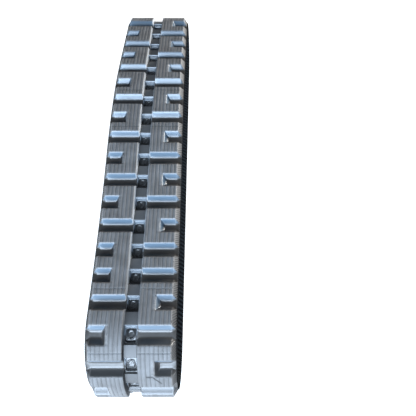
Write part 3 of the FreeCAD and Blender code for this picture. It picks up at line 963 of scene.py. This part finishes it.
def tread_rubber():
    """Moulded tread rubber: shiny in the slots, dusty and scuffed on the lands."""
    nodes = Nodes("tread_rubber")
    belt = nodes.attribute("belt")
    relief = nodes.parts(nodes.attribute("relief"))
    land = relief[2]
    x, distance, height = nodes.parts(belt)
    reach = nodes.maths("ABSOLUTE", x)
    shoulder = nodes.parts(nodes.attribute("facing"))[1]
    wall = wall_share(nodes, reach, height, land, shoulder)
    streaks = nodes.noise(nodes.stretched(belt, (260.0, 9.0, 60.0)), 1.0, 4.0)
    grain = nodes.noise(belt, 1400.0, 2.0)
    scuffs = nodes.maths("SUBTRACT", nodes.maths("MULTIPLY", streaks, land), cut_mark(nodes, belt))
    pad_top = nodes.between(height, PAD - MASK_FADE, PAD - PAD_TOP, 0.0, 0.8)
    pad_top = nodes.maths("MULTIPLY", pad_top, channel_mask(nodes, reach))
    shaded = shaded_wall(nodes, x, distance)
    dull = nodes.maths("MAXIMUM", land, shoulder)
    dull = nodes.maths("MAXIMUM", dull, nodes.maths("MAXIMUM", pad_top, shaded))
    matt = nodes.maths("MAXIMUM", shaded, nodes.between(reach, PLATEAU_HALF, LUG_FOOT))
    return nodes.finish(
        Base_Color=tread_colour(nodes, belt, relief, shoulder, wall, streaks),
        Roughness=nodes.between(dull, 0.0, 1.0, 0.36, 0.60),
        Normal=nodes.bump(nodes.maths("ADD", grain, scuffs), 0.00035, 0.6),
        Specular_IOR_Level=nodes.between(matt, 0.0, 1.0, 0.5, 0.0),
        Coat_Weight=nodes.between(dull, 0.0, 1.0, 0.42, 0.0), Coat_Roughness=0.30, Coat_IOR=1.55,
    )


def carcass_rubber():
    """Inner rubber: dull and slightly dusty, polished along the roller paths, with painted shadow on the
    hatched margins.
    """
    nodes = Nodes("carcass_rubber")
    belt = nodes.attribute("belt")
    ridge, polished, margin = nodes.parts(nodes.attribute("relief"))
    patches = nodes.noise(belt, 30.0, 4.0)
    grain = nodes.noise(belt, 1100.0, 3.0)
    scuffs = nodes.noise(nodes.stretched(belt, (500.0, 12.0, 90.0)), 1.0, 3.0)
    colour = nodes.mix(nodes.between(patches, 0.35, 0.7), grey(0.020), grey(0.055, 0.03))
    marks = nodes.maths("MULTIPLY", polished, nodes.between(scuffs, 0.45, 0.75))
    colour = nodes.mix(marks, colour, grey(0.085, 0.02))
    # painted shadow: the hatched margins are near black, their ribs a little paler and bluish
    colour = nodes.mix(margin, colour, nodes.mix(ridge, grey(0.003), grey(0.030, -0.15)))
    rough = nodes.between(nodes.maths("MULTIPLY", polished, scuffs), 0.2, 0.6, 0.62, 0.36)
    normal = nodes.bump(nodes.maths("ADD", grain, marks), 0.0003, 0.6)
    return nodes.finish(
        Base_Color=colour, Roughness=rough, Normal=normal,
        Specular_IOR_Level=nodes.between(margin, 0.0, 1.0, 0.5, 0.0),
    )


def skin_rubber():
    """The thin skins: clean moulded rubber with dust in the corners."""
    nodes = Nodes("skin_rubber")
    belt = nodes.attribute("belt")
    patches = nodes.noise(belt, 160.0, 4.0)
    grain = nodes.noise(belt, 1800.0, 2.0)
    colour = nodes.mix(nodes.between(patches, 0.35, 0.65), grey(0.010, -0.05), grey(0.030))
    rough = nodes.between(patches, 0.3, 0.7, 0.30, 0.48)
    return nodes.finish(
        Base_Color=colour, Roughness=rough, Normal=nodes.bump(grain, 0.0002, 0.5),
        Coat_Weight=0.7, Coat_Roughness=0.25, Coat_IOR=1.6,
    )


def forged_steel():
    """Rubber-bonded forged steel of the cores."""
    nodes = Nodes("core_steel")
    place = nodes.object_place()
    scale = nodes.noise(place, 120.0, 5.0, 0.65)
    pits = nodes.noise(place, 900.0, 3.0)
    colour = nodes.mix(nodes.between(scale, 0.4, 0.65), grey(0.11, 0.04), (0.16, 0.10, 0.07, 1.0))
    rough = nodes.between(scale, 0.3, 0.7, 0.42, 0.72)
    return nodes.finish(
        Base_Color=colour, Metallic=0.85, Roughness=rough, Normal=nodes.bump(pits, 0.0004, 0.7),
    )


def cord_steel():
    """Brass-coated stranded cord, laid side by side along the belt."""
    nodes = Nodes("cord_steel")
    place = nodes.object_place()
    settings = {"Vector": place, "Scale": 90.0}
    strands = nodes.node("ShaderNodeTexWave", settings, bands_direction="X").outputs["Fac"]
    tarnish = nodes.noise(place, 60.0, 4.0)
    colour = nodes.mix(strands, (0.10, 0.08, 0.05, 1.0), (0.46, 0.36, 0.20, 1.0))
    colour = nodes.mix(nodes.between(tarnish, 0.5, 0.8, 0.0, 0.5), colour, (0.16, 0.12, 0.08, 1.0))
    return nodes.finish(
        Base_Color=colour, Metallic=0.95, Roughness=nodes.between(tarnish, 0.3, 0.7, 0.28, 0.45),
        Normal=nodes.bump(strands, 0.0008, 0.8),
    )


def floor_paint():
    """A plain pale floor."""
    nodes = Nodes("floor_paint")
    tone = nodes.noise(nodes.object_place(), 1.5, 2.0)
    colour = nodes.mix(tone, grey(0.42), grey(0.46))
    return nodes.finish(Base_Color=colour, Roughness=0.9, Emission_Color=grey(1.0), Emission_Strength=0.75)


# ---- the pieces


def tread_relief(points):
    """For the tread material: grooves, lug edges, and lands."""
    distance, x, height = points.T
    distances = [np.abs(edge - PLATEAU) for edge in lug_edges(distance, x)]
    on_top = np.clip((height - PLATEAU + LAND_START) / LAND_FADE, 0, 1)
    reach = np.abs(x)
    across = np.where(reach > LUG_FOOT + FOOT_FADE, height, reach)
    lines = np.maximum(rib_groove(x), parting_groove(distance)) * on_top
    groove = np.maximum(lines, shoulder_share(distance, x) * hatch(distance, across))
    edge = np.clip(1 - np.min(distances, axis=0) / EDGE_WIDTH, 0, 1) * (height > COVER + EDGE_WIDTH)
    return np.stack([groove, edge, on_top], axis=1)


def facings(points):
    """Which slot walls get painted shade for facing away from the light, and which points are on shoulders.
    """
    distance, x, _ = points.T
    row, from_row = nearest_row(distance)
    past_floor = SHORT_SLOT_FLOOR - np.abs(x) > from_row - SLOT_FLOOR
    at_closed_end = past_floor & ~slot_is_long(row, x < 0) & (np.abs(x) > CHANNEL_RIM)
    # painted shade on walls facing away from the light: closed slot ends on the left, and on the right up
    # to the upper run
    away = np.where(at_closed_end, (x < 0) | (distance < NEAR_TO_UPPER_RUN[0]), distance < row_at(row))
    return np.stack([away, shoulder_share(distance, x), np.zeros_like(x)], axis=1)


def inner_relief(points):
    """For the carcass material: margin ribs, polished paths, and margins."""
    distance, x, height = points.T
    reach = np.abs(x)
    polished = np.clip((-height + CARCASS + POLISH_START) / POLISH_FADE, 0, 1)
    margin = margin_share(reach)
    return np.stack([margin_hatch(distance, reach), polished * (1 - margin), margin], axis=1)


def sharpen_flat_faces(mesh, smooth):
    """Marks the edges of flat faces as sharp, to keep the shading beside them even."""
    edges = np.empty(len(mesh.loops), int)
    mesh.loops.foreach_get("edge_index", edges)
    sides = np.empty(len(mesh.polygons), int)
    mesh.polygons.foreach_get("loop_total", sides)
    sharp = np.zeros(len(mesh.edges), bool)
    sharp[edges[np.repeat(~np.array(smooth), sides)]] = True
    mesh.edges.foreach_set("use_edge_sharp", sharp)


def make_piece(name, shell, material, relief_of):
    """A mesh object from a shell, with the places and zones that its material reads."""
    points = shell.points()
    mesh = bpy.data.meshes.new(name)
    mesh.from_pydata(in_frame(points).tolist(), [], shell.faces)
    mesh.polygons.foreach_set("use_smooth", shell.smooth)
    sharpen_flat_faces(mesh, shell.smooth)
    # the facing attribute holds where the materials paint shade on walls, and the shoulders
    zones = {"belt": points[:, [1, 0, 2]], "relief": relief_of(points), "facing": facings(points)}
    for attribute, vectors in zones.items():
        layer_data = mesh.attributes.new(attribute, "FLOAT_VECTOR", "POINT")
        layer_data.data.foreach_set("vector", vectors.astype(np.float32).ravel())
    mesh.materials.append(material)
    piece = bpy.data.objects.new(name, mesh)
    bpy.context.scene.collection.objects.link(piece)
    return piece


def attach(piece, section):
    """A piece rides on its body, or keeps its place in the frame when it lies between two bodies."""
    if len(section.bodies) == 1:
        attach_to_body(piece, section.bodies[0])
        return
    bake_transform(piece)


def sections():
    """The loop in order: whole bodies, and one pitch round each flex line between two."""
    return [
        Section("near_bend", core_at(0), core_at(5), ["near_bend"], None),
        Section("near_upper_flex", core_at(5), core_at(6), ["near_bend", "top_run"], 6),
        Section("top_run", core_at(6), core_at(20), ["top_run"], None),
        Section("far_upper_flex", core_at(20), core_at(21), ["top_run", "far_bend"], 21),
        Section("far_bend", core_at(21), row_at(OPEN_ROW) - BELT_GAP, ["far_bend"], None),
        Section("bottom_run", row_at(OPEN_ROW) + BELT_GAP, core_at(40), ["bottom_run"], None),
        Section("near_lower_flex", core_at(-1), core_at(0), ["bottom_run", "near_bend"], 0),
    ]


def rubber_nodes(section, parts):
    """Names of the CAD nodes that a piece stands for, on the body that it rides on."""
    if len(section.bodies) > 1:
        return []
    wanted = {side + part + "_" + section.bodies[0] for part in parts for side in ("", "left_", "right_")}
    return [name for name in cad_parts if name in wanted]


def build_rubber():
    """Tread, carcass and skins of every section."""
    kinds = [
        ("tread", tread_layer, tread_rubber(), tread_relief, ["tread_cover", "channel_pads", "tread_lugs"]),
        (
            "carcass", inner_layer, carcass_rubber(), inner_relief,
            ["carcass", "roller_path", "guide_lugs", "bridge_covers"],
        ),
        ("skins", skins, skin_rubber(), np.zeros_like, ["window_skins"]),
    ]
    for section in sections():
        for kind, shell_of, material, relief_of, parts in kinds:
            piece = make_piece(f"{kind}_{section.name}", shell_of(section), material, relief_of)
            attach(piece, section)
            nodes = rubber_nodes(section, parts)
            if nodes:
                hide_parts(*nodes)


def paint_steel():
    """Procedural steel on the cores and cords, which stay as CAD made them."""
    finishes = {"cores": forged_steel(), "cords": cord_steel()}
    for name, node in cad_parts.items():
        for word, material in finishes.items():
            if word in name:
                node.data.materials.clear()
                node.data.materials.append(material)


# ---- floor, light and camera

FLOOR_HALF = 30.0
DOME_LOW = (0.50, 0.52, 0.56, 1.0)
DOME_HIGH = (0.15, 0.17, 0.20, 1.0)
CAMERA_PLACE = Vector((0.2613, -1.0054, 1.8492))
CAMERA_TILT = math.radians(63.88)
CAMERA_TURN = math.radians(0.58)
CAMERA_ROLL = math.radians(0.54)
FOCAL_LENGTH = 34.88
SENSOR_WIDTH = 36.0


def build_floor():
    """A large pale floor under the track."""
    corners = [(x * FLOOR_HALF, y * FLOOR_HALF, 0) for x, y in ((-1, -1), (1, -1), (1, 1), (-1, 1))]
    mesh = bpy.data.meshes.new("floor")
    mesh.from_pydata(corners, [], [(0, 1, 2, 3)])
    mesh.materials.append(floor_paint())
    floor = bpy.data.objects.new("floor", mesh)
    bpy.context.scene.collection.objects.link(floor)


def soft_light(name, place, target, width, height, watts, colour):
    """A large rectangular softbox, aimed at a point."""
    lamp = bpy.data.lights.new(name, "AREA")
    lamp.shape = "RECTANGLE"
    lamp.size, lamp.size_y = width, height
    lamp.energy = watts
    lamp.color = colour
    holder = bpy.data.objects.new(name, lamp)
    holder.location = place
    holder.rotation_mode = "QUATERNION"
    holder.rotation_quaternion = (Vector(target) - Vector(place)).to_track_quat("-Z", "Y")
    bpy.context.scene.collection.objects.link(holder)


def build_lights():
    """A large cool softbox in front, a smaller neutral one on the right, and a dim studio."""
    soft_light("front_softbox", (-1.0, -4.4, 2.6), (0, 0, 0.4), 7.0, 3.4, 1350, (0.66, 0.81, 1.0))
    soft_light("right_softbox", (4.2, 2.8, 1.6), (0, 0.7, 0.4), 3.0, 1.0, 560, (1.0, 0.98, 0.95))
    world = bpy.data.worlds.new("studio")
    bpy.context.scene.world = world
    world.use_nodes = True
    nodes = world.node_tree.nodes
    links = world.node_tree.links
    direction = nodes.new("ShaderNodeTexCoord").outputs["Generated"]
    split = nodes.new("ShaderNodeSeparateXYZ")
    links.new(direction, split.inputs["Vector"])
    ramp = nodes.new("ShaderNodeValToRGB")
    links.new(split.outputs["Z"], ramp.inputs["Fac"])
    ramp.color_ramp.elements[0].color = DOME_LOW
    ramp.color_ramp.elements[1].position = 0.5
    ramp.color_ramp.elements[1].color = DOME_HIGH
    links.new(ramp.outputs["Color"], nodes["Background"].inputs["Color"])


def build_camera():
    """The camera, standing over the near end and looking down along the track."""
    turned = Vector((math.sin(CAMERA_TURN), math.cos(CAMERA_TURN), 0))
    forward = turned * math.cos(CAMERA_TILT) - Vector((0, 0, math.sin(CAMERA_TILT)))
    level = Vector((math.cos(CAMERA_TURN), -math.sin(CAMERA_TURN), 0))
    right = level * math.cos(CAMERA_ROLL) + level.cross(forward) * math.sin(CAMERA_ROLL)
    up = right.cross(forward)
    lens = bpy.data.cameras.new("camera")
    lens.lens = FOCAL_LENGTH
    lens.sensor_width = SENSOR_WIDTH
    camera = bpy.data.objects.new("camera", lens)
    axes = Matrix((right, up, -forward)).transposed().to_4x4()
    camera.matrix_world = Matrix.Translation(CAMERA_PLACE) @ axes
    bpy.context.scene.collection.objects.link(camera)
    bpy.context.scene.camera = camera
    bpy.context.scene.view_settings.view_transform = "Standard"


build_rubber()
paint_steel()
build_floor()
build_lights()
build_camera()
